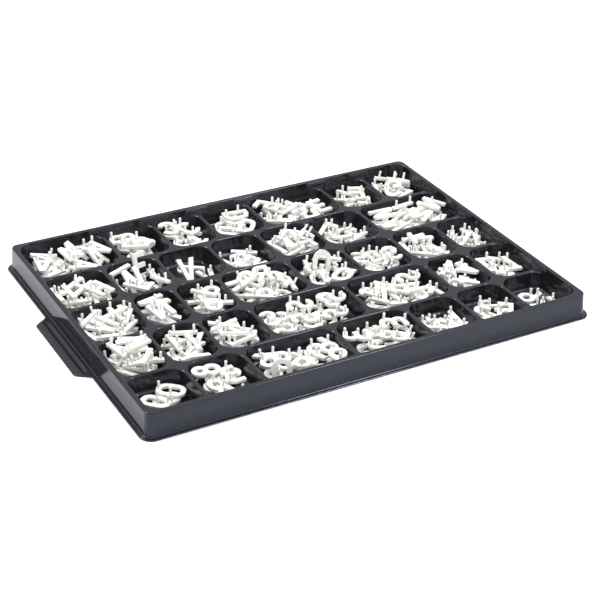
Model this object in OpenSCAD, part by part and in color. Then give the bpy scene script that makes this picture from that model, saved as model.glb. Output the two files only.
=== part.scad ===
// Sorting tray: a thin formed tray with 36 rounded compartments in five rows,
// each holding a loose heap of pegged display characters.
// Origin at the centre of the base, +X along the long side, +Z up. Millimetres.

/* [Tray] */
// Length of the rim, outside
tray_l = 430; // [400:1:460]
// Width of the rim, outside
tray_w = 318; // [300:1:340]
// Height of the rim's top above the base
tray_h = 23; // [21:0.5:27]
// Width of the flat rim
rim_w = 5; // [4:0.5:8]
// Outer corner radius of the rim
rim_r = 6; // [4:0.5:10]
// Thickness of the formed sheet
sheet = 1.2; // [1:0.1:1.5]
// How far the dividers' tops lie below the rim
recess = 5.7; // [5:0.1:7]
// How far the outer wall leans out from the rim to the base
wall_lean = 1.5; // [0.5:0.1:3]
// How far the base flange stands out from the foot of the outer wall
flange_lip = 3.8; // [2:0.1:6]

/* [Compartments] */
// Shares of the tray's length in row 1, the back row
row_1 = [83.5, 52, 49.5, 52, 84, 50, 49]; // [40:0.5:100]
// Shares of the tray's length in row 2
row_2 = [58, 52.5, 54, 52.5, 54, 58.5, 90.5]; // [40:0.5:100]
// Shares of the tray's length in row 3
row_3 = [58, 42, 45, 71.5, 58, 54, 51, 40.5]; // [40:0.5:100]
// Shares of the tray's length in row 4
row_4 = [49, 47, 50, 95.5, 87.5, 47, 44]; // [40:0.5:100]
// Shares of the tray's length in row 5, the front row
row_5 = [53, 54, 88, 74.5, 51, 51, 48.5]; // [40:0.5:100]
// Distance between the lengthwise dividers
row_pitch = 62.3; // [61:0.1:64]
// Width of a divider's top
divider_w = 3.5; // [3:0.1:5]
// Corner radius of a compartment's mouth
mouth_r = 13; // [11:0.5:14]
// How far a compartment's wall leans in from its mouth to its foot
draft = 2.5; // [1.5:0.1:3]
// Radius between a compartment's wall and its floor
foot_r = 3.5; // [2:0.1:5]
// Height of a compartment's floor above the base, on top of the sheet
floor_z = 1.6; // [1.5:0.1:3]
// Depth of the small ledge where a divider meets the recess wall
ledge_d = 2; // [1:0.1:3]
// Height of that ledge above the divider's top
ledge_h = 3.2; // [2:0.1:4]

/* [Grips] */
// Length of the grip tab's straight outer edge
grip_l = 88; // [70:1:110]
// How far the grip tab stands out from the centre of the tray
grip_reach = 233; // [228:0.5:240]
// Length along the flange that each end of the grip tab tapers over
grip_taper = 13; // [8:1:20]

/* [Characters] */
// Height of a character
char_h = 25.4; // [24:0.2:27]
// Width of a character's stroke
stroke_w = 4.2; // [3.8:0.1:4.4]
// Thickness of a character
stroke_t = 2.6; // [2:0.1:3]
// Length of a character's pegs
peg_l = 7; // [5:0.1:8]
// Radius of a character's pegs
peg_r = 1.15; // [0.9:0.05:1.3]
// Seed of the way the heaps fall
heap_seed = 7; // [1:1:99]
// Places tried for each character, of which the lowest is taken
tries = 200; // [20:10:300]
// Share of the lying characters that lie face down, with their pegs up
face_down_share = 0.7; // [0:0.05:1]
// Steepest lean of a lying character
lie_lean = 30; // [0:5:60]
// Most that a standing character leans back
stand_lean = 45; // [5:1:50]
// Most that standing characters turn away from the front, from one side to the other
stand_turn = 80; // [0:5:180]
// Most that standing characters roll, from one side to the other
stand_roll = 30; // [0:5:60]
// Least clearance between neighbouring pieces
gap = 0.25; // [0.2:0.05:0.5]

// Characters of the back row's compartments, left to right, in the order in which they fall
heaps_1 = ["aaAAAAAAAAAAAA", "BBBBBBBB", "CCCCCCCCC", "DDDDDDDD", "EEEEEEEEEEEEE", "FFFFFF",
    "GGHHIIGG"]; // [A to Z, 0 to 9; a small letter stands on edge]
// Characters of row 2's compartments
heaps_2 = ["HHHHIHIIHH", "enIIIFIII", "vVJ", "KKKKI", "nLNNLLILIL", "LLLILLLIILI",
    "NMNNNMNNNNIN"]; // [A to Z, 0 to 9; a small letter stands on edge]
// Characters of row 3's compartments
heaps_3 = ["IIIINIIIINIIIIIIIIII", "NNINNN", "PPPPPPPP", "RRRRRRRRRRRR", "oQQQIIQIIII", "KKSSKKSS",
    "TITITIIITIITI", "IIIIIIIIII"]; // [A to Z, 0 to 9; a small letter stands on edge]
// Characters of row 4's compartments
heaps_4 = ["IINNIIINIIINIIIIII", "YYIYYYYIIY", "XXLLXXLXL", "SSSSSSSSSSSSSSSSS", "ZSZZOZSZZZZSZZ",
    "4444444", "7772777"]; // [A to Z, 0 to 9; a small letter stands on edge]
// Characters of the front row's compartments
heaps_5 = ["00O0", "8B88388", "669966o96669966", "33O335353353", "44A444", "5225",
    "999"]; // [A to Z, 0 to 9; a small letter stands on edge]

/* [Hidden] */
$fn = 48;
rows = [row_1, row_2, row_3, row_4, row_5];
heaps = [heaps_1, heaps_2, heaps_3, heaps_4, heaps_5];
recess_l = tray_l - 2 * rim_w;
recess_w = tray_w - 2 * rim_w;
divider_z = tray_h - recess;
foot_l = tray_l + 2 * wall_lean;
foot_w = tray_w + 2 * wall_lean;
flange_l = foot_l + 2 * flange_lip;
flange_w = foot_w + 2 * flange_lip;
plastic = "#26272b";
ivory = "#eceee9";

// Height and centre line of a character's strokes
line_h = char_h - stroke_w;
// Length of the pieces that a stroke is measured in while a heap falls
step = 2;
// Side of the square patches that a compartment is sorted into while a heap falls
patch = 5;

function heap_name(r, c) = str("characters_row_", r + 1, "_bay_", c + 1);
function pockets_name(r) = str("pockets_row_", r + 1);
heap_names = [for (r = [0:4]) for (c = [0:len(rows[r]) - 1]) heap_name(r, c)];

// ---- Layout of the compartments ----

function sum(v, n) = n <= 0 ? 0 : v[n - 1] + sum(v, n - 1);

// Left edge of compartment c in row r, at the divider's centre line or the recess wall
function edge_x(r, c) = recess_l * (sum(rows[r], c) / sum(rows[r], len(rows[r])) - 0.5);

// Back edge of row r, at the divider's centre line or the recess wall
function edge_y(r) = r == 0 ? recess_w / 2 : r == 5 ? -recess_w / 2 : (2.5 - r) * row_pitch;

// A compartment's mouth [x0, y0, x1, y1]: half a divider inside its cell, or flush with the recess wall
function mouth(r, c) = let (n = len(rows[r]), half = divider_w / 2) [
    edge_x(r, c) + (c == 0 ? 0 : half),
    edge_y(r + 1) + (r == 4 ? 0 : half),
    edge_x(r, c + 1) - (c == n - 1 ? 0 : half),
    edge_y(r) - (r == 0 ? 0 : half)
];

// A compartment's cell, out to the dividers' centre lines or over the recess wall's thickness
function cell(r, c) = let (n = len(rows[r])) [
    edge_x(r, c) - (c == 0 ? sheet : 0),
    edge_y(r + 1) - (r == 4 ? sheet : 0),
    edge_x(r, c + 1) + (c == n - 1 ? sheet : 0),
    edge_y(r) + (r == 0 ? sheet : 0)
];

// ---- Outlines and plates ----

module round_rect(l, w, r) {
    square([l - 2 * r, w], center = true);
    square([l, w - 2 * r], center = true);
    for (x = [-1, 1], y = [-1, 1]) translate([x * (l / 2 - r), y * (w / 2 - r)]) circle(r);
}

module square_outline(b) {
    translate([b[0], b[1]]) square([b[2] - b[0], b[3] - b[1]]);
}

module mouth_outline(b) {
    translate([(b[0] + b[2]) / 2, (b[1] + b[3]) / 2]) round_rect(b[2] - b[0], b[3] - b[1], mouth_r);
}

module ring_plate(l, w, r, l_in, w_in, r_in, z, h) {
    translate([0, 0, z]) linear_extrude(h) difference() {
        round_rect(l, w, r);
        round_rect(l_in, w_in, r_in);
    }
}

// ---- The tray's edge ----

module rim_frame() {
    color(plastic) ring_plate(tray_l, tray_w, rim_r, recess_l, recess_w, mouth_r, tray_h - sheet, sheet);
}

module recess_wall() {
    color(plastic) ring_plate(recess_l + 2 * sheet, recess_w + 2 * sheet, mouth_r + sheet,
        recess_l, recess_w, mouth_r, divider_z, recess - sheet);
}

// The outer wall leans out, so it is swept: four quarter turns and four straight runs of one section
module outer_wall() {
    half_l = tray_l / 2 - rim_r;
    half_w = tray_w / 2 - rim_r;
    z_top = tray_h - sheet;
    r_foot = rim_r + wall_lean;
    section = [[rim_r - sheet, z_top], [rim_r, z_top], [r_foot, sheet], [r_foot - sheet, sheet]];
    color(plastic) for (side = [0:3]) rotate(90 * side) {
        reach = side % 2 == 0 ? half_l : half_w;
        run = side % 2 == 0 ? half_w : half_l;
        translate([reach, run, 0]) rotate([90, 0, 0]) linear_extrude(2 * run) polygon(section);
        translate([reach, run, 0]) rotate_extrude(angle = 90) polygon(section);
    }
}

module base_flange() {
    r_foot = rim_r + wall_lean;
    color(plastic) ring_plate(flange_l, flange_w, r_foot + flange_lip,
        foot_l - 2 * sheet, foot_w - 2 * sheet, r_foot - sheet, 0, sheet);
}

// A flat tab that widens the base flange. Each end is an S curve from the tab's edge to the flange's edge.
module grip(side) {
    edge = flange_l / 2;
    curve_n = 8;
    curve = [for (i = [0:curve_n]) let (t = i / curve_n)
        [grip_reach + (edge - grip_reach) * (1 - cos(180 * t)) / 2, grip_l / 2 + grip_taper * t]];
    color(plastic) mirror([side < 0 ? 1 : 0, 0, 0]) linear_extrude(sheet) polygon(concat(
        curve, [for (i = [curve_n:-1:0]) [curve[i][0], -curve[i][1]]]
    ));
}

// ---- Compartments ----

// Section of a compartment's wall and floor, r from the corner's centre: floor, rounded foot, leaning wall
function pocket_section() = let (
    wall_foot = [mouth_r - draft, floor_z + foot_r],
    arc_n = 4,
    heel = sheet / 4
) concat(
    [[0, floor_z]],
    [for (i = [0:arc_n]) let (a = 90 * i / arc_n)
        [wall_foot[0] - foot_r + foot_r * sin(a), wall_foot[1] - foot_r * cos(a)]],
    [[mouth_r, divider_z], [mouth_r + sheet, divider_z], [wall_foot[0] + sheet, wall_foot[1]]],
    [[wall_foot[0] + heel, floor_z - heel], [wall_foot[0] - foot_r, floor_z - sheet], [0, floor_z - sheet]]
);

module pocket(r, c) {
    m = mouth(r, c);
    half_l = (m[2] - m[0]) / 2 - mouth_r;
    half_w = (m[3] - m[1]) / 2 - mouth_r;
    translate([(m[0] + m[2]) / 2, (m[1] + m[3]) / 2, 0]) {
        for (side = [0:3]) rotate(90 * side) {
            reach = side % 2 == 0 ? half_l : half_w;
            run = side % 2 == 0 ? half_w : half_l;
            translate([reach, run, 0]) rotate([90, 0, 0]) linear_extrude(2 * run) polygon(pocket_section());
            translate([reach, run, 0]) rotate_extrude(angle = 90) polygon(pocket_section());
        }
        translate([-half_l, -half_w, floor_z - sheet]) cube([2 * half_l, 2 * half_w, sheet]);
    }
    translate([0, 0, divider_z - sheet]) linear_extrude(sheet) difference() {
        square_outline(cell(r, c));
        mouth_outline(m);
    }
}

module pockets(r) {
    color(plastic) for (c = [0:len(rows[r]) - 1]) pocket(r, c);
}

// A small step where a divider meets the recess wall, cut by the two mouths beside it
module divider_ledge(x, y, along, mouths) {
    l = 2 * mouth_r + divider_w;
    size = along ? [l, 2 * ledge_d] : [2 * ledge_d, l];
    translate([0, 0, divider_z]) linear_extrude(ledge_h) difference() {
        intersection() {
            translate([x, y]) square(size, center = true);
            square([recess_l, recess_w], center = true);
        }
        for (m = mouths) mouth_outline(m);
    }
}

module divider_ledges() {
    color(plastic) {
        for (r = [0, 4], c = [1:len(rows[r]) - 1])
            divider_ledge(edge_x(r, c), edge_y(r == 0 ? 0 : 5), true, [mouth(r, c - 1), mouth(r, c)]);
        for (r = [1:4], end = [0, 1]) let (a = end * (len(rows[r - 1]) - 1), b = end * (len(rows[r]) - 1))
            divider_ledge((end - 0.5) * recess_l, edge_y(r), false, [mouth(r - 1, a), mouth(r, b)]);
    }
}

// ---- Characters ----
// Each is drawn with the centre lines of its strokes, on a height of 1:
// bars [x0, y0, x1, y1, end at 0, end at 1] and arcs [x, y, radius, first angle, last angle].
// A bar's end is "square" and half a stroke past its point, "level" and half a stroke above or below it,
// or "flush" with it. Both ends are alike where only one is given, and "square" where none is.
// An arc that joins a flush bar starts there.

function bars_of(ch) =
    ch == "A" ? [[0, 0, 0.34, 1, "level"], [0.34, 1, 0.68, 0, "level"], [0.14, 0.27, 0.54, 0.27, "flush"]] :
    ch == "B" ? [[0, 0, 0, 1], [0, 1, 0.26, 1, "flush"], [0, 0.53, 0.26, 0.53], [0, 0, 0.26, 0, "flush"]] :
    ch == "C" ? [[0, 0.31, 0, 0.69, "flush"]] :
    ch == "D" ? [[0, 0, 0, 1], [0, 1, 0.24, 1, "flush"], [0, 0, 0.24, 0, "flush"],
        [0.55, 0.31, 0.55, 0.69, "flush"]] :
    ch == "E" ? [[0, 0, 0, 1], [0, 1, 0.5, 1], [0, 0.5, 0.44, 0.5], [0, 0, 0.5, 0]] :
    ch == "F" ? [[0, 0, 0, 1], [0, 1, 0.5, 1], [0, 0.52, 0.42, 0.52]] :
    ch == "G" ? [[0, 0.31, 0, 0.69, "flush"], [0.6, 0.14, 0.6, 0.4], [0.4, 0.4, 0.6, 0.4]] :
    ch == "H" ? [[0, 0, 0, 1], [0.56, 0, 0.56, 1], [0, 0.5, 0.56, 0.5]] :
    ch == "I" ? [[0, 0, 0, 1]] :
    ch == "J" ? [[0.46, 0.24, 0.46, 1, "flush", "square"]] :
    ch == "K" ? [[0, 0, 0, 1], [0.03, 0.42, 0.5, 1, "level"], [0.17, 0.45, 0.54, 0, "level"]] :
    ch == "L" ? [[0, 0, 0, 1], [0, 0, 0.46, 0]] :
    ch == "M" ? [[0, 0, 0, 1], [0.72, 0, 0.72, 1], [0.02, 1, 0.36, 0.3, "level"],
        [0.36, 0.3, 0.7, 1, "level"]] :
    ch == "N" ? [[0, 0, 0, 1], [0.56, 0, 0.56, 1], [0.02, 1, 0.54, 0, "level"]] :
    ch == "O" ? [[0, 0.31, 0, 0.69, "flush"], [0.62, 0.31, 0.62, 0.69, "flush"]] :
    ch == "P" ? [[0, 0, 0, 1], [0, 1, 0.27, 1, "flush"], [0, 0.46, 0.27, 0.46, "flush"]] :
    ch == "Q" ? [[0, 0.31, 0, 0.69, "flush"], [0.62, 0.31, 0.62, 0.69, "flush"],
        [0.4, 0.2, 0.62, 0, "level"]] :
    ch == "R" ? [[0, 0, 0, 1], [0, 1, 0.27, 1, "flush"], [0, 0.46, 0.27, 0.46, "flush"],
        [0.25, 0.42, 0.54, 0, "level"]] :
    ch == "S" ? [[0.16, 0.53, 0.38, 0.47]] :
    ch == "T" ? [[0.28, 0, 0.28, 1], [0, 1, 0.56, 1]] :
    ch == "U" ? [[0, 0.29, 0, 1.1, "flush"], [0.58, 0.29, 0.58, 1.1, "flush"]] :
    ch == "V" ? [[0, 1, 0.3, 0, "level"], [0.3, 0, 0.6, 1, "level"]] :
    ch == "W" ? [[0, 1, 0.22, 0, "level"], [0.22, 0, 0.44, 0.8, "level"], [0.44, 0.8, 0.66, 0, "level"],
        [0.66, 0, 0.88, 1, "level"]] :
    ch == "X" ? [[0, 0, 0.58, 1, "level"], [0, 1, 0.58, 0, "level"]] :
    ch == "Y" ? [[0.3, 0, 0.3, 0.45], [0, 1, 0.3, 0.45, "level"], [0.3, 0.45, 0.6, 1, "level"]] :
    ch == "Z" ? [[0, 1, 0.56, 1], [0.54, 1, 0.02, 0, "level"], [0, 0, 0.56, 0]] :
    ch == "0" ? [[0, 0.26, 0, 0.74, "flush"], [0.52, 0.26, 0.52, 0.74, "flush"]] :
    ch == "1" ? [[0.2, 0, 0.2, 1], [-0.04, 0.76, 0.2, 0.96, "flush"]] :
    ch == "2" ? [[0.53, 0.66, 0.03, 0, "square", "level"], [0, 0, 0.54, 0]] :
    ch == "3" ? [[0.02, 1, 0.26, 1, "square", "flush"], [0.1, 0.53, 0.26, 0.53],
        [0.02, 0, 0.26, 0, "square", "flush"]] :
    ch == "4" ? [[0.42, 0, 0.42, 1], [0.42, 1, 0, 0.3, "level"], [0, 0.3, 0.58, 0.3]] :
    ch == "5" ? [[0.04, 1, 0.5, 1], [0.04, 1, 0.04, 0.53]] :
    ch == "6" ? [[0.04, 0.4, 0.34, 1, "flush", "level"]] :
    ch == "7" ? [[0, 1, 0.54, 1], [0.52, 1, 0.16, 0, "level"]] :
    ch == "8" ? [[0.15, 0.52, 0.39, 0.52]] :
    ch == "9" ? [[0.22, 0, 0.52, 0.6, "level", "flush"]] : [];

function arcs_of(ch) =
    ch == "B" || ch == "3" ? [[0.26, 0.76, 0.24, -90, 90], [0.26, 0.27, 0.27, -90, 90]] :
    ch == "C" ? [[0.31, 0.69, 0.31, 180, 20], [0.31, 0.31, 0.31, 180, 340]] :
    ch == "D" ? [[0.24, 0.69, 0.31, 0, 90], [0.24, 0.31, 0.31, -90, 0]] :
    ch == "G" ? [[0.31, 0.69, 0.31, 180, 20], [0.31, 0.31, 0.31, 180, 330]] :
    ch == "J" ? [[0.23, 0.24, 0.23, 0, -170]] :
    ch == "O" || ch == "Q" ? [[0.31, 0.69, 0.31, 0, 180], [0.31, 0.31, 0.31, 180, 360]] :
    ch == "P" || ch == "R" ? [[0.27, 0.73, 0.27, -90, 90]] :
    ch == "S" ? [[0.27, 0.75, 0.25, 25, 250], [0.27, 0.25, 0.25, -155, 70]] :
    ch == "U" ? [[0.29, 0.29, 0.29, 180, 360]] :
    ch == "0" ? [[0.26, 0.74, 0.26, 0, 180], [0.26, 0.26, 0.26, 180, 360]] :
    ch == "2" ? [[0.27, 0.73, 0.27, -15, 170]] :
    ch == "5" ? [[0.24, 0.29, 0.29, -140, 130]] :
    ch == "6" ? [[0.28, 0.28, 0.28, 0, 360]] :
    ch == "8" ? [[0.27, 0.755, 0.235, -58, 238], [0.27, 0.265, 0.265, -238, 58]] :
    ch == "9" ? [[0.28, 0.72, 0.28, 0, 360]] : [];

function upper(ch) = ord(ch) >= 97 ? chr(ord(ch) - 32) : ch;
function unit(v) = v / norm(v);

// The ends of a bar's centre line, u along the bar, and how far past a point each kind of end is
function past(style, u) =
    style == "flush" ? [0, 0] : style == "level" ? [0, sign(u[1]) * stroke_w / 2] : u * stroke_w / 2;
function bar_ends(b) = let (u = unit([b[2] - b[0], b[3] - b[1]])) [
    [b[0], b[1]] * line_h - past(b[4], u),
    [b[2], b[3]] * line_h + past(is_undef(b[5]) ? b[4] : b[5], u)
];

// From a bar's centre line to its right side at an end, square or level
function bar_side(style, u) = (style == "level" ? [1 / u[1], 0] : [u[1], -u[0]]) * stroke_w / 2;
function arc_length(a) = a[2] * line_h * abs(a[4] - a[3]) * PI / 180;

// A character's middle, which its pieces are measured from
function width_of(ch) = max(concat(
    [for (b = bars_of(ch)) max(b[0], b[2])],
    [for (a = arcs_of(ch)) let (turns = [min(a[3], a[4]), max(a[3], a[4])])
        a[0] + a[2] * (turns[0] <= 0 && turns[1] >= 0 || turns[1] >= 360 ? 1 : 0.9)]
));
function middle_of(ch) = [width_of(ch) / 2, 0.5] * line_h;

// The strokes cut into short pieces: [place, direction, half length, half width]
function pieces_of(ch) = concat(
    [for (b = bars_of(ch))
        let (e = bar_ends(b), l = norm(e[1] - e[0]), n = ceil(l / step), u = unit(e[1] - e[0]))
        for (i = [0:n - 1]) [
            concat(e[0] + u * (i + 0.5) * l / n - middle_of(ch), [0]),
            concat(u, [0]), l / n / 2, stroke_w / 2
        ]],
    [for (k = arcs_of(ch)) let (n = ceil(arc_length(k) / step), turn = (k[4] - k[3]) / n, r = k[2] * line_h)
        for (i = [0:n - 1]) let (a = k[3] + (i + 0.5) * turn) [
            concat([k[0], k[1]] * line_h + r * [cos(a), sin(a)] - middle_of(ch), [0]),
            [-sin(a), cos(a), 0],
            (r + stroke_w / 2) * sin(abs(turn) / 2),
            stroke_w / 2 + r * (1 - cos(turn / 2))
        ]]
);

// The two pegs stand on the back, near the ends of the strokes
function pegs_of(ch) = let (p = pieces_of(ch), n = len(p)) [p[round(0.1 * n)][0], p[round(0.8 * n)][0]];

module bar(b) {
    e = bar_ends(b);
    u = unit(e[1] - e[0]);
    side_0 = bar_side(b[4], u);
    side_1 = bar_side(is_undef(b[5]) ? b[4] : b[5], u);
    if (b[4] == "level" || b[5] == "level")
        linear_extrude(stroke_t) polygon([e[0] - side_0, e[0] + side_0, e[1] + side_1, e[1] - side_1]);
    else
        translate(e[0]) rotate(atan2(u[1], u[0])) translate([0, -stroke_w / 2])
            cube([norm(e[1] - e[0]), stroke_w, stroke_t]);
}

module character(ch) {
    translate(concat(-middle_of(ch), [-stroke_t / 2])) {
        for (b = bars_of(ch)) bar(b);
        for (k = arcs_of(ch))
            translate([k[0] * line_h, k[1] * line_h]) rotate(k[3]) mirror([0, k[4] < k[3] ? 1 : 0, 0])
                rotate_extrude(angle = abs(k[4] - k[3]))
                    translate([k[2] * line_h - stroke_w / 2, 0]) square([stroke_w, stroke_t]);
    }
    for (p = pegs_of(ch)) translate(p - [0, 0, stroke_t / 2]) mirror([0, 0, 1]) rotate_extrude() polygon([
        [0, -stroke_t / 2], [peg_r, -stroke_t / 2], [peg_r, peg_l - peg_r / 2], [peg_r / 2, peg_l], [0, peg_l]
    ]);
}

// ---- How a heap falls ----
// Every piece of a character is taken as an upright disc [x, y, bottom, top, radius].
// A character comes straight down until one of its discs is just above a disc, the floor or the wall.

function turned(pose, v) = let (
    a = pose[0], tilt = pose[1], spin = pose[2],
    p = [v[0] * cos(spin) - v[1] * sin(spin), v[0] * sin(spin) + v[1] * cos(spin), v[2]],
    q = [p[0], p[1] * cos(tilt) - p[2] * sin(tilt), p[1] * sin(tilt) + p[2] * cos(tilt)]
) [q[0] * cos(a) - q[1] * sin(a), q[0] * sin(a) + q[1] * cos(a), q[2]];

function disc(at, u, v, w) = let (
    corners = [u + v + w, u + v - w, u - v + w, u - v - w],
    up = max([for (k = corners) abs(k[2])]),
    out = max([for (k = corners) norm([k[0], k[1]])])
) [at[0], at[1], at[2] - up, at[2] + up, out];

function discs_of(shape, pose) = let (
    back = turned(pose, [0, 0, -1]),
    side_x = turned(pose, [1, 0, 0]) * peg_r * 0.85,
    side_y = turned(pose, [0, 1, 0]) * peg_r * 0.85,
    peg_n = 3
) concat(
    [for (p = shape[0]) let (u = turned(pose, p[1]), v = turned(pose, [-p[1][1], p[1][0], 0]))
        disc(turned(pose, p[0]), u * p[2], v * p[3], back * stroke_t / 2)],
    [for (p = shape[1], i = [0:peg_n - 1])
        disc(turned(pose, p) + back * (stroke_t / 2 + (i + 0.5) * peg_l / peg_n),
            back * peg_l / peg_n / 2, side_x, side_y)]
);

// Distance of a point inside a mouth, with half sizes hl and hw, from the mouth's edge
function inset(x, y, hl, hw) = let (qx = abs(x) - hl + mouth_r, qy = abs(y) - hw + mouth_r)
    mouth_r - min(max(qx, qy), 0) - norm([max(qx, 0), max(qy, 0)]);

// Height of the compartment's wall, rounded foot or floor at that distance
function ground(e) =
    e >= draft + foot_r ? floor_z :
    e >= draft ? floor_z + foot_r - sqrt(foot_r ^ 2 - (draft + foot_r - e) ^ 2) :
    divider_z - (divider_z - floor_z - foot_r) * e / draft;

// A pose [heading, tilt, spin] from three chances: standing on edge, or lying face up or face down
function pose_of(ch, q) = ord(ch) >= 97
    ? [(q[0] - 0.5) * stand_turn, 90 - stand_lean * (0.35 + 0.65 * q[1]), (q[2] - 0.5) * stand_roll]
    : let (
        face_down = q[1] < face_down_share,
        t = face_down ? q[1] / face_down_share : (1 - q[1]) / (1 - face_down_share)
    ) [360 * q[0], (face_down ? 180 : 0) + lie_lean * (2 * t - 1) ^ 3, 360 * q[2]];

// The discs that lie in a compartment, sorted into square patches.
// Each patch lists all the discs that can touch a disc in it.
function empty_patches(hl, hw) =
    [for (i = [0:ceil(2 * hl / patch) - 1]) [for (j = [0:ceil(2 * hw / patch) - 1]) []]];

function add_to_patches(patches, discs, hl, hw) = let (near = patch / 2 + 2 * max([for (d = discs) d[4]])) [
    for (i = [0:len(patches) - 1]) let (
        x = (i + 0.5) * patch - hl,
        column = [for (d = discs) if (abs(d[0] - x) < near) d]
    )
        [for (j = [0:len(patches[i]) - 1]) let (y = (j + 0.5) * patch - hw)
            concat(patches[i][j], [for (d = column) if (abs(d[1] - y) < near) d])]
];

// Where a character comes to rest at one tried place, as [height, x, y, pose, discs], or undef past the mouth
function rest_at(ch, shape, q, patches, hl, hw) = let (
    pose = pose_of(ch, q),
    d = discs_of(shape, pose),
    x0 = gap - hl - min([for (k = d) k[0] - k[4]]),
    x1 = hl - gap - max([for (k = d) k[0] + k[4]]),
    y0 = gap - hw - min([for (k = d) k[1] - k[4]]),
    y1 = hw - gap - max([for (k = d) k[1] + k[4]])
) x0 > x1 || y0 > y1 ? undef : let (
    x = x0 + (x1 - x0) * q[3],
    y = y0 + (y1 - y0) * q[4],
    room = [for (k = d) inset(x + k[0], y + k[1], hl, hw) - k[4]]
) min(room) < gap ? undef : let (
    on_ground = max([for (i = [0:len(d) - 1]) ground(room[i]) - d[i][2]]),
    z = gap + max(concat([on_ground], [
        for (k = d) let (u = x + k[0], v = y + k[1])
            for (o = patches[floor((u + hl) / patch)][floor((v + hw) / patch)])
                if ((u - o[0]) ^ 2 + (v - o[1]) ^ 2 < (k[4] + o[4]) ^ 2) o[3] - k[2]
    ]))
) [z, x, y, pose, [for (k = d) [x + k[0], y + k[1], z + k[2], z + k[3], k[4]]]];

function lowest(found) = let (z = min([for (f = found) f[0]])) [for (f = found) if (f[0] == z) f][0];

// The whole heap: [character, height, x, y, pose] for each, in the order in which they fall
function heap_of(chs, seed, hl, hw, patches, i = 0, done = []) = i == len(chs) ? done : let (
    q = rands(0, 1, 5 * tries, seed * 100 + i),
    shape = [pieces_of(upper(chs[i])), pegs_of(upper(chs[i]))],
    found = [for (k = [0:tries - 1])
        let (f = rest_at(chs[i], shape, [for (n = [0:4]) q[5 * k + n]], patches, hl, hw)) if (f != undef) f],
    best = len(found) > 0 ? lowest(found) : undef
) best == undef
    ? heap_of(chs, seed, hl, hw, patches, i + 1, done)
    : heap_of(chs, seed, hl, hw, add_to_patches(patches, best[4], hl, hw), i + 1,
        concat(done, [[upper(chs[i]), best[0], best[1], best[2], best[3]]]));

module heap(r, c) {
    m = mouth(r, c);
    hl = (m[2] - m[0]) / 2;
    hw = (m[3] - m[1]) / 2;
    color(ivory) translate([m[0] + hl, m[1] + hw, 0])
        for (k = heap_of(heaps[r][c], heap_seed + 10 * r + c, hl, hw, empty_patches(hl, hw)))
            translate([k[2], k[3], k[1]])
                rotate([0, 0, k[4][0]]) rotate([k[4][1], 0, 0]) rotate([0, 0, k[4][2]]) character(k[0]);
}

rim_frame();
recess_wall();
divider_ledges();
outer_wall();
base_flange();
grip(-1);  // grip_left
grip(1);  // grip_right
for (r = [0:4]) pockets(r);
for (r = [0:4], c = [0:len(rows[r]) - 1]) heap(r, c);
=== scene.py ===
"""Looks of the sorting tray: a glossy black formed sheet with 36 compartments of loose white characters."""
import math

import bpy
import numpy as np
from mathutils import Matrix, Vector
from mathutils.geometry import delaunay_2d_cdt


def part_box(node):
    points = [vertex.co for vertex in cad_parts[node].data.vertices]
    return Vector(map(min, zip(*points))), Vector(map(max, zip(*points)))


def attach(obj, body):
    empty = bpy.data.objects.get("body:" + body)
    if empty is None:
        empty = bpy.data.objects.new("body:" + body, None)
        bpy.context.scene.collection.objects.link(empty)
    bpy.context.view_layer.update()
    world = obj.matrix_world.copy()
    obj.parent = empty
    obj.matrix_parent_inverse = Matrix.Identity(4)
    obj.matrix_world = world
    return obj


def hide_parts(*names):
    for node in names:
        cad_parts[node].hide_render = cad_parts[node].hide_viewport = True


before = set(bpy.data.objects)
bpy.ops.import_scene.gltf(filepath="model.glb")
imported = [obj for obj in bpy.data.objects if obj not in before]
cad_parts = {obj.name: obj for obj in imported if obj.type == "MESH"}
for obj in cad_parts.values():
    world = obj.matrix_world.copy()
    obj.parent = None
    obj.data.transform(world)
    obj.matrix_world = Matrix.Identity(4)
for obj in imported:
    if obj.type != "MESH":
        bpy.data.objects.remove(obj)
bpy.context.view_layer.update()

MM = 0.001


def sizes(node):
    lo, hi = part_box(node)
    return np.array(lo) / MM, np.array(hi) / MM


# ---------------------------------------------------------------------------------------------------------------
# Dimensions in millimetres, from the CAD nodes' boxes where a box has them
# ---------------------------------------------------------------------------------------------------------------
rim_lo, rim_hi = sizes("rim_frame")
recess_lo, recess_hi = sizes("recess_wall")
foot_lo, foot_hi = sizes("outer_wall")
flange_lo, flange_hi = sizes("base_flange")
grip_lo, grip_hi = sizes("grip_right")
ledge_lo, ledge_hi = sizes("divider_ledges")

SHEET = flange_hi[2] - flange_lo[2]
TRAY_L, TRAY_W = rim_hi[0] - rim_lo[0], rim_hi[1] - rim_lo[1]
RIM_Z = rim_hi[2]
RIM_R = 6.0
RECESS_L, RECESS_W = ledge_hi[0] - ledge_lo[0], ledge_hi[1] - ledge_lo[1]
DECK_Z = recess_lo[2]
LEDGE_Z = ledge_hi[2]
LEDGE_D = 2.0
FOOT_OUT = foot_hi[0] - rim_hi[0]
FLANGE_OUT = flange_hi[0] - rim_hi[0]
GRIP_REACH = grip_hi[0]
GRIP_HALF = 44.0
GRIP_TAPER = grip_hi[1] - GRIP_HALF

ROW_SHARES = [
    [83.5, 52, 49.5, 52, 84, 50, 49],
    [58, 52.5, 54, 52.5, 54, 58.5, 90.5],
    [58, 42, 45, 71.5, 58, 54, 51, 40.5],
    [49, 47, 50, 95.5, 87.5, 47, 44],
    [53, 54, 88, 74.5, 51, 51, 48.5],
]
ROW_PITCH = 62.3
DIVIDER_W = 3.5
MOUTH_R = 13.0
DRAFT = 2.5
FOOT_R = 3.5
FLOOR_Z = 1.6

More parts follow.
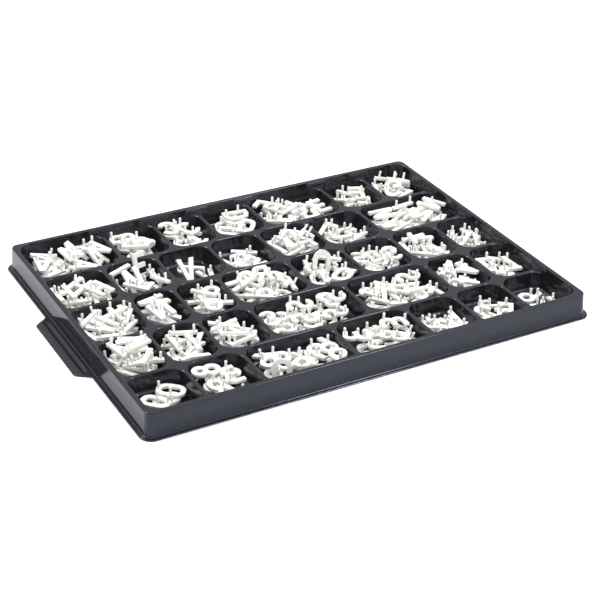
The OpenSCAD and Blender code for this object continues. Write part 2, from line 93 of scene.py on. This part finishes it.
# Roundings that a formed sheet has and the CAD leaves sharp
MOUTH_ROLL = 1.3
RIM_ROLL_IN = 0.8
RIM_ROLL_OUT = 1.2
WALL_FOOT = 0.7
SKIRT_FOOT = 1.2
EDGE_ROLL = 0.8
RECESS_LEAN = 0.4
WALL_SLOPE = (DECK_Z - FLOOR_Z - FOOT_R) / DRAFT
RECESS_SLOPE = (RIM_Z - DECK_Z) / RECESS_LEAN
SKIRT_SLOPE = (RIM_Z - SHEET) / FOOT_OUT
LEDGE_SLOPE = 6.0
THICK_IN = 0.8
THICK_OUT = SHEET
# The ridge and the groove along the grip tab: distance from the tray's centre, width, height or depth
RIDGE_X, RIDGE_W, RIDGE_H = 220.0, 1.3, 0.45
GROOVE_X, GROOVE_W, GROOVE_H = 223.5, 1.1, 0.55
RELIEF_PAST = 4
RELIEF_FADE = 6


# ---------------------------------------------------------------------------------------------------------------
# The formed sheet as one height over the plan
# ---------------------------------------------------------------------------------------------------------------
def mouths():
    """Centre and half sizes of every compartment's mouth."""
    found = []
    edge_y = [RECESS_W / 2] + [(2.5 - r) * ROW_PITCH for r in range(1, 5)] + [-RECESS_W / 2]
    for r, shares in enumerate(ROW_SHARES):
        edge_x = RECESS_L * (np.concatenate([[0], np.cumsum(shares)]) / sum(shares) - 0.5)
        for c in range(len(shares)):
            x0 = edge_x[c] + (DIVIDER_W / 2 if c else 0)
            x1 = edge_x[c + 1] - (DIVIDER_W / 2 if c < len(shares) - 1 else 0)
            y0 = edge_y[r + 1] + (DIVIDER_W / 2 if r < 4 else 0)
            y1 = edge_y[r] - (DIVIDER_W / 2 if r else 0)
            found.append(((x0 + x1) / 2, (y0 + y1) / 2, (x1 - x0) / 2, (y1 - y0) / 2))
    return found


MOUTHS = mouths()


def inset(x, y, cx, cy, hl, hw, r):
    """Distance inside a rounded rectangle's edge, negative outside."""
    qx = np.abs(x - cx) - hl + r
    qy = np.abs(y - cy) - hw + r
    return r - np.minimum(np.maximum(qx, qy), 0) - np.hypot(np.maximum(qx, 0), np.maximum(qy, 0))


def roll_span(slope, radius):
    """Where a rolled edge starts on the flat and ends on the wall, from the sharp edge."""
    tangent = radius * math.tan(math.atan(slope) / 2)
    return -tangent, tangent * math.cos(math.atan(slope))


def rolled(e, top, slope, radius):
    """A flat top that rolls over into a wall falling by slope."""
    start, end = roll_span(slope, radius)
    arc = top - radius + np.sqrt(np.maximum(radius ** 2 - (e - start) ** 2, 0))
    return np.where(e < start, top, np.where(e < end, arc, top - slope * e))


def foot_span():
    """Where a compartment's foot leaves the wall and where it meets the floor."""
    corner = (DECK_Z - FLOOR_Z) / WALL_SLOPE
    tangent = FOOT_R * math.tan(math.atan(WALL_SLOPE) / 2)
    return corner - tangent * math.cos(math.atan(WALL_SLOPE)), corner + tangent


def compartment(e):
    """Height of a compartment by its inset: rolled mouth, leaning wall, rounded foot, floor."""
    start, end = foot_span()
    foot = FLOOR_Z + FOOT_R - np.sqrt(np.maximum(FOOT_R ** 2 - (end - e) ** 2, 0))
    z = np.where(e > start, foot, rolled(e, DECK_Z, WALL_SLOPE, MOUTH_ROLL))
    return np.where(e > end, FLOOR_Z, z)


def cove(s, radius):
    """Height added by a concave rounding at the foot of a wall, s from the wall."""
    t = np.clip(radius - s, 0, radius)
    return radius - np.sqrt(radius ** 2 - t ** 2)


def soft_max(a, b, k):
    """The greater of two heights, blended where they differ by less than k."""
    h = np.maximum(k - np.abs(a - b), 0) / k
    return np.maximum(a, b) + h * h * k / 4


def soft_min(a, b, k):
    return -soft_max(-a, -b, k)


def grip_half(reach):
    """Half length of the grip tab at a distance from the tray's centre."""
    edge = TRAY_L / 2 + FLANGE_OUT
    t = np.arccos(np.clip(1 - 2 * (reach - GRIP_REACH) / (edge - GRIP_REACH), -1, 1)) / math.pi
    return GRIP_HALF + GRIP_TAPER * t


def ring(cx, cy, hl, hw, r, n=10):
    """Points around a rounded rectangle."""
    angle = np.linspace(0, math.pi / 2, n + 1)
    parts = []
    for k, (sx, sy) in enumerate([(1, 1), (-1, 1), (-1, -1), (1, -1)]):
        a = angle + k * math.pi / 2
        parts.append(np.stack([cx + sx * (hl - r) + r * np.cos(a), cy + sy * (hw - r) + r * np.sin(a)], 1))
    return np.concatenate(parts)


def outline():
    """The sheet's outer edge: the flange with a grip tab at each short side."""
    edge = TRAY_L / 2 + FLANGE_OUT
    r = RIM_R + FLANGE_OUT
    corners = ring(0, 0, edge, TRAY_W / 2 + FLANGE_OUT, r, 14)
    t = np.linspace(0, 1, 13)
    x = GRIP_REACH + (edge - GRIP_REACH) * (1 - np.cos(math.pi * t)) / 2
    y = GRIP_HALF + GRIP_TAPER * t
    upper = np.stack([x, y], 1)
    right = np.concatenate([upper[::-1] * [1, -1], upper])
    left = -right
    quarter = len(corners) // 4
    return np.concatenate([right, corners[:2 * quarter], left, corners[2 * quarter:]])


OUTLINE = outline()


def edge_distance(x, y):
    """Distance from the sheet's outer edge."""
    a, b = OUTLINE, np.roll(OUTLINE, -1, 0)
    d = b - a
    best = np.full(x.shape, 1e9)
    for p, v in zip(a, d):
        t = np.clip(((x - p[0]) * v[0] + (y - p[1]) * v[1]) / max(v @ v, 1e-12), 0, 1)
        best = np.minimum(best, np.hypot(x - p[0] - t * v[0], y - p[1] - t * v[1]))
    return best


def tab_relief(x, y):
    """The grip tab's shallow groove and the ridge beside it, which fade at the tab's ends."""
    fade = np.clip((GRIP_HALF + RELIEF_PAST - np.abs(y)) / RELIEF_FADE, 0, 1)
    fade = fade * fade * (3 - 2 * fade)
    groove = np.exp(-((np.abs(x) - GROOVE_X) / GROOVE_W) ** 2)
    ridge = np.exp(-((np.abs(x) - RIDGE_X) / RIDGE_W) ** 2)
    return fade * (RIDGE_H * ridge - GROOVE_H * groove)


def height(x, y):
    """Height of the sheet's upper face over a point of the plan."""
    e_in = inset(x, y, 0, 0, RECESS_L / 2, RECESS_W / 2, MOUTH_R)
    e_out = -inset(x, y, 0, 0, TRAY_L / 2, TRAY_W / 2, RIM_R)
    deck = np.full(x.shape, DECK_Z)
    nearest = np.full(x.shape, -1e9)
    for cx, cy, hl, hw in MOUTHS:
        near = (np.abs(x - cx) < hl + 4) & (np.abs(y - cy) < hw + 4)
        e = inset(x[near], y[near], cx, cy, hl, hw, MOUTH_R)
        deck[near] = np.minimum(deck[near], compartment(e))
        nearest[near] = np.maximum(nearest[near], e)
    deck = deck + cove(e_in, WALL_FOOT)
    ledge = soft_min(soft_min(np.full(x.shape, LEDGE_Z), DECK_Z + LEDGE_SLOPE * (LEDGE_D + 0.3 - e_in), 0.6),
                     DECK_Z - WALL_SLOPE * nearest, 0.6)
    inner = np.maximum(soft_max(deck, ledge, 0.4), rolled(e_in + RECESS_LEAN, RIM_Z, RECESS_SLOPE, RIM_ROLL_IN))
    outer = rolled(e_out, RIM_Z, SKIRT_SLOPE, RIM_ROLL_OUT)
    d = np.full(x.shape, 9.0)
    rim = e_out > FOOT_OUT
    d[rim] = edge_distance(x[rim], y[rim])
    drop = EDGE_ROLL - np.sqrt(np.maximum(EDGE_ROLL ** 2 - np.maximum(EDGE_ROLL - d - 0.04, 0) ** 2, 0))
    flange = SHEET - drop + cove(e_out - FOOT_OUT, SKIRT_FOOT) + tab_relief(x, y)
    outer = np.where(e_out > 0, np.maximum(outer, flange), outer)
    return np.where(e_in > -2.4, inner, outer)


def tray_shell():
    """The whole sheet: its upper face triangulated along every edge and roll, its underside, and its rim."""
    loops = []
    start, end = roll_span(WALL_SLOPE, MOUTH_ROLL)
    lean = math.atan(WALL_SLOPE)
    foot_start, foot_end = foot_span()
    mouth_steps = [start + MOUTH_ROLL * math.sin(a) for a in np.linspace(0, lean, 6)]
    mouth_steps += [(end + foot_start) / 2]
    mouth_steps += [foot_end - FOOT_R * math.sin(a) for a in np.linspace(lean, 0, 7)]
    for cx, cy, hl, hw in MOUTHS:
        loops += [ring(cx, cy, hl - e, hw - e, MOUTH_R - e) for e in mouth_steps]
    start, end = roll_span(RECESS_SLOPE, RIM_ROLL_IN)
    recess_steps = [start - RECESS_LEAN + RIM_ROLL_IN * math.sin(a)
                    for a in np.linspace(0, math.atan(RECESS_SLOPE), 6)]
    recess_steps += [-0.2, 0, 0.1, 0.25, 0.45, WALL_FOOT, 1.2, 1.65, 1.85, 2.05, 2.3, 2.6]
    loops += [ring(0, 0, RECESS_L / 2 - e, RECESS_W / 2 - e, MOUTH_R - e, 16) for e in recess_steps]
    start, end = roll_span(SKIRT_SLOPE, RIM_ROLL_OUT)
    outer_steps = [start + RIM_ROLL_OUT * math.sin(a) for a in np.linspace(0, math.atan(SKIRT_SLOPE), 7)]
    outer_steps += [FOOT_OUT / 3, FOOT_OUT * 2 / 3, FOOT_OUT]
    outer_steps += [FOOT_OUT + SKIRT_FOOT * (1 - math.cos(a)) for a in np.linspace(0.3, math.pi / 2, 6)]
    outer_steps += [FLANGE_OUT - 1.4]
    loops += [ring(0, 0, TRAY_L / 2 + e, TRAY_W / 2 + e, RIM_R + e, 14) for e in outer_steps]
    along = np.roll(OUTLINE, -1, 0) - np.roll(OUTLINE, 1, 0)
    normal = np.stack([along[:, 1], -along[:, 0]], 1)
    normal /= np.linalg.norm(normal, axis=1)[:, None]
    for d in (0, 0.07, 0.2, 0.42, EDGE_ROLL):
        loops.append(OUTLINE - normal * d)
    points, edges = [], []
    for loop in loops:
        n, k = len(loop), len(points)
        points += [Vector(p) for p in loop]
        edges += [(k + i, k + (i + 1) % n) for i in range(n)]
    for side in (-1, 1):
        for reach in (218.2, 219.0, 219.6, 220.3, 221, 221.7, 222.4, 223, 223.5, 224, 224.7, 225.5, 226.5):
            k = len(points)
            half = min(float(grip_half(np.array(reach))), GRIP_HALF + RELIEF_PAST) - 0.9
            ys = np.linspace(-half, half, 15)
            points += [Vector((side * reach, y)) for y in ys]
            edges += [(k + i, k + i + 1) for i in range(len(ys) - 1)]
    out = delaunay_2d_cdt(points, edges, [], 0, 1e-5, False)
    xy = np.array([tuple(v) for v in out[0]])
    tris = np.array([tuple(f) for f in out[2]])
    mid = xy[tris].mean(1)
    x, y = np.abs(mid[:, 0]), np.abs(mid[:, 1])
    inside = inset(x, y, 0, 0, TRAY_L / 2 + FLANGE_OUT, TRAY_W / 2 + FLANGE_OUT, RIM_R + FLANGE_OUT) > -1e-4
    inside |= (x > TRAY_L / 2) & (x < GRIP_REACH) & (y < grip_half(x))
    tris = tris[inside]
    used, tris = np.unique(tris, return_inverse=True)
    tris = tris.reshape(-1, 3)
    xy = xy[used]
    a, b, c = xy[tris[:, 0]], xy[tris[:, 1]], xy[tris[:, 2]]
    area = (b[:, 0] - a[:, 0]) * (c[:, 1] - a[:, 1]) - (b[:, 1] - a[:, 1]) * (c[:, 0] - a[:, 0])
    tris[area < 0] = tris[area < 0][:, ::-1]

    x, y = xy[:, 0], xy[:, 1]
    z = height(x, y)
    h = 0.01
    slope_x = (height(x + h, y) - height(x - h, y)) / (2 * h)
    slope_y = (height(x, y + h) - height(x, y - h)) / (2 * h)
    up = np.stack([-slope_x, -slope_y, np.ones(len(x))], 1)
    up /= np.linalg.norm(up, axis=1)[:, None]

    pairs = np.sort(np.concatenate([tris[:, [0, 1]], tris[:, [1, 2]], tris[:, [2, 0]]]), axis=1)
    keys, count = np.unique(pairs, axis=0, return_counts=True)
    border = set(map(tuple, keys[count == 1]))
    on_border = np.zeros(len(x), bool)
    on_border[np.unique(keys[count == 1])] = True

    e_in = inset(x, y, 0, 0, RECESS_L / 2, RECESS_W / 2, MOUTH_R)
    e_out = -inset(x, y, 0, 0, TRAY_L / 2, TRAY_W / 2, RIM_R)
    mix = np.clip((e_in + 2.5) / 2, 0, 1)
    thick = THICK_OUT + (THICK_IN - THICK_OUT) * mix * mix * (3 - 2 * mix)
    top = np.stack([x, y, z], 1)
    under = top - up * thick[:, None]
    flat = e_out > FOOT_OUT + SKIRT_FOOT - 0.05
    under[flat] = np.stack([x[flat], y[flat], np.zeros(flat.sum())], 1)
    down = -up
    down[flat] = (0, 0, -1)
    under[:, 2] = np.maximum(under[:, 2], 0)

    n = len(x)
    faces = [tuple(t) for t in tris] + [tuple(t[::-1] + n) for t in tris]
    for t in tris:
        for i in range(3):
            p, q = int(t[i]), int(t[(i + 1) % 3])
            if (min(p, q), max(p, q)) in border:
                faces.append((q, p, p + n, q + n))
    mesh = bpy.data.meshes.new("tray_shell")
    mesh.from_pydata((np.concatenate([top, under]) * MM).tolist(), [], faces)
    mesh.shade_smooth()
    normals = np.concatenate([up, down])
    mesh.normals_split_custom_set_from_vertices(normals.tolist())
    shell = bpy.data.objects.new("tray_shell", mesh)
    bpy.context.scene.collection.objects.link(shell)
    return shell


# ---------------------------------------------------------------------------------------------------------------
# Materials
# ---------------------------------------------------------------------------------------------------------------
def new_material(name):
    material = bpy.data.materials.new(name)
    material.use_nodes = True
    tree = material.node_tree
    return material, tree, tree.nodes["Principled BSDF"]


def noise(tree, scale, detail=3.0, rough=0.5):
    coords = tree.nodes.get("Texture Coordinate") or tree.nodes.new("ShaderNodeTexCoord")
    node = tree.nodes.new("ShaderNodeTexNoise")
    node.inputs["Scale"].default_value = scale
    node.inputs["Detail"].default_value = detail
    node.inputs["Roughness"].default_value = rough
    tree.links.new(coords.outputs["Object"], node.inputs["Vector"])
    return node


def spread(tree, source, low, high, to_low, to_high):
    node = tree.nodes.new("ShaderNodeMapRange")
    for name, value in (("From Min", low), ("From Max", high), ("To Min", to_low), ("To Max", to_high)):
        node.inputs[name].default_value = value
    tree.links.new(source, node.inputs["Value"])
    return node.outputs["Result"]


def bump(tree, source, distance, strength=1.0, normal=None):
    node = tree.nodes.new("ShaderNodeBump")
    node.inputs["Strength"].default_value = strength
    node.inputs["Distance"].default_value = distance
    tree.links.new(source, node.inputs["Height"])
    if normal is not None:
        tree.links.new(normal, node.inputs["Normal"])
    return node.outputs["Normal"]


def tray_material():
    """Formed black polystyrene: glossy, faintly wavy, with a fine satin grain and a little dust."""
    material, tree, shader = new_material("tray_plastic")
    dust = noise(tree, 260, 6, 0.65)
    patches = noise(tree, 14, 3)
    dusty = tree.nodes.new("ShaderNodeMath")
    dusty.operation = "MULTIPLY"
    tree.links.new(spread(tree, dust.outputs["Fac"], 0.55, 0.75, 0, 1), dusty.inputs[0])
    tree.links.new(spread(tree, patches.outputs["Fac"], 0.4, 0.7, 0.2, 1), dusty.inputs[1])
    colour = tree.nodes.new("ShaderNodeMix")
    colour.data_type = "RGBA"
    colour.inputs["A"].default_value = (0.0130, 0.0124, 0.0128, 1)
    colour.inputs["B"].default_value = (0.030, 0.028, 0.027, 1)
    tree.links.new(dusty.outputs[0], colour.inputs["Factor"])
    tree.links.new(colour.outputs["Result"], shader.inputs["Base Color"])
    satin = noise(tree, 45, 4)
    tree.links.new(spread(tree, satin.outputs["Fac"], 0.3, 0.7, 0.10, 0.18), shader.inputs["Roughness"])
    wave = noise(tree, 22, 1)
    grain = noise(tree, 1500, 2)
    normal = bump(tree, wave.outputs["Fac"], 0.0006, 0.35)
    normal = bump(tree, grain.outputs["Fac"], 0.00004, 0.12, normal)
    tree.links.new(normal, shader.inputs["Normal"])
    shader.inputs["IOR"].default_value = 1.55
    shader.inputs["Specular Tint"].default_value = (0.62, 0.66, 0.84, 1)
    return material


def character_material():
    """Injection-moulded off-white polystyrene, slightly translucent, each piece a little different."""
    material, tree, shader = new_material("character_plastic")
    geometry = tree.nodes.new("ShaderNodeNewGeometry")
    mottle = noise(tree, 180, 3)
    tint = tree.nodes.new("ShaderNodeMix")
    tint.data_type = "RGBA"
    tint.inputs["A"].default_value = (0.86, 0.845, 0.79, 1)
    tint.inputs["B"].default_value = (0.91, 0.90, 0.865, 1)
    tree.links.new(geometry.outputs["Random Per Island"], tint.inputs["Factor"])
    shade = tree.nodes.new("ShaderNodeMix")
    shade.data_type = "RGBA"
    shade.blend_type = "MULTIPLY"
    shade.inputs["B"].default_value = (0.955, 0.95, 0.925, 1)
    tree.links.new(spread(tree, mottle.outputs["Fac"], 0.35, 0.7, 0, 1), shade.inputs["Factor"])
    tree.links.new(tint.outputs["Result"], shade.inputs["A"])
    tree.links.new(shade.outputs["Result"], shader.inputs["Base Color"])
    satin = noise(tree, 320, 3)
    tree.links.new(spread(tree, satin.outputs["Fac"], 0.3, 0.7, 0.32, 0.46), shader.inputs["Roughness"])
    tree.links.new(bump(tree, satin.outputs["Fac"], 0.00006, 0.4), shader.inputs["Normal"])
    shader.inputs["IOR"].default_value = 1.5
    shader.inputs["Subsurface Weight"].default_value = 0.12
    shader.inputs["Subsurface Radius"].default_value = (1.0, 0.9, 0.7)
    shader.inputs["Subsurface Scale"].default_value = 0.0012
    return material


# ---------------------------------------------------------------------------------------------------------------
# Pieces
# ---------------------------------------------------------------------------------------------------------------
shell = tray_shell()
shell.data.materials.append(tray_material())
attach(shell, "tray")
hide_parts("rim_frame", "recess_wall", "divider_ledges", "outer_wall", "base_flange",
            "grip_left", "grip_right", *[f"pockets_row_{r + 1}" for r in range(len(ROW_SHARES))])

WELD = 0.00001
CHARACTER_EDGE = 0.00028
ivory = character_material()
for name, node in sorted(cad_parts.items()):
    if not name.startswith("characters_"):
        continue
    node.data.materials.clear()
    node.data.materials.append(ivory)
    weld = node.modifiers.new("weld", "WELD")
    weld.merge_threshold = WELD
    bevel = node.modifiers.new("bevel", "BEVEL")
    bevel.width = CHARACTER_EDGE
    bevel.segments = 2
    bevel.limit_method = "ANGLE"
    bevel.angle_limit = math.radians(40)
    bevel.harden_normals = True
    bevel.use_clamp_overlap = True

# ---------------------------------------------------------------------------------------------------------------
# Floor, light and camera
# ---------------------------------------------------------------------------------------------------------------
FLOOR_HALF = 6.0
FLOOR_DROP = 0.00005
floor_corners = [(-1, -1), (1, -1), (1, 1), (-1, 1)]
floor_mesh = bpy.data.meshes.new("floor")
floor_mesh.from_pydata([(sx * FLOOR_HALF, sy * FLOOR_HALF, -FLOOR_DROP) for sx, sy in floor_corners],
                       [], [(0, 1, 2, 3)])
floor = bpy.data.objects.new("floor", floor_mesh)
bpy.context.scene.collection.objects.link(floor)
paper, tree, shader = new_material("floor")
shader.inputs["Base Color"].default_value = (0.97, 0.97, 0.97, 1)
shader.inputs["Roughness"].default_value = 0.9
shader.inputs["Specular IOR Level"].default_value = 0.1
floor_mesh.materials.append(paper)

# The sky is white at the horizon, dimmer at the height that the flat tops mirror, and brightest overhead
HORIZON_TOP, DIM_BAND = 0.2, 0.45
HORIZON_LIGHT, DIM_LIGHT, OVERHEAD_LIGHT = 1.08, 0.64, 1.5
world = bpy.data.worlds.new("studio")
world.use_nodes = True
sky = world.node_tree
direction = sky.nodes.new("ShaderNodeTexCoord")
parts = sky.nodes.new("ShaderNodeSeparateXYZ")
sky.links.new(direction.outputs["Generated"], parts.inputs["Vector"])
sky.nodes["Background"].inputs["Color"].default_value = (0.93, 0.95, 1.0, 1)
strength = sky.nodes.new("ShaderNodeMath")
strength.operation = "ADD"
sky.links.new(spread(sky, parts.outputs["Z"], HORIZON_TOP, DIM_BAND, HORIZON_LIGHT, DIM_LIGHT), strength.inputs[0])
sky.links.new(spread(sky, parts.outputs["Z"], DIM_BAND, 1, 0, OVERHEAD_LIGHT - DIM_LIGHT), strength.inputs[1])
sky.links.new(strength.outputs[0], sky.nodes["Background"].inputs["Strength"])
bpy.context.scene.world = world
bpy.context.scene.view_settings.view_transform = "Standard"


def soft_light(name, place, width, depth, power):
    """A rectangular lamp that points at the tray's centre."""
    lamp = bpy.data.lights.new(name, "AREA")
    lamp.shape = "RECTANGLE"
    lamp.size, lamp.size_y = width, depth
    lamp.energy = power
    thing = bpy.data.objects.new(name, lamp)
    bpy.context.scene.collection.objects.link(thing)
    thing.location = place
    thing.rotation_euler = (-Vector(place)).to_track_quat("-Z", "Y").to_euler()


soft_light("key", (-0.5, 0.9, 1.3), 0.4, 0.3, 12)
soft_light("top", (0.75, -0.1, 1.6), 0.36, 0.25, 10)
soft_light("fill", (0.9, -1.1, 1.3), 0.8, 0.6, 5)

AZIMUTH, ELEVATION, ROLL = math.radians(-29.124), math.radians(29.884), math.radians(1.178)
DISTANCE = 1.4178
AIM = Vector((-0.0109, -0.0350, 0.0110))
back = Vector((math.sin(AZIMUTH) * math.cos(ELEVATION), -math.cos(AZIMUTH) * math.cos(ELEVATION),
               math.sin(ELEVATION)))
camera_data = bpy.data.cameras.new("camera")
camera_data.sensor_width = 36
camera_data.lens = 94.25
camera_data.clip_end = 30
camera = bpy.data.objects.new("camera", camera_data)
bpy.context.scene.collection.objects.link(camera)
turn = back.to_track_quat("Z", "Y").to_matrix().to_4x4() @ Matrix.Rotation(ROLL, 4, "Z")
camera.matrix_world = Matrix.Translation(AIM + back * DISTANCE) @ turn
bpy.context.scene.camera = camera
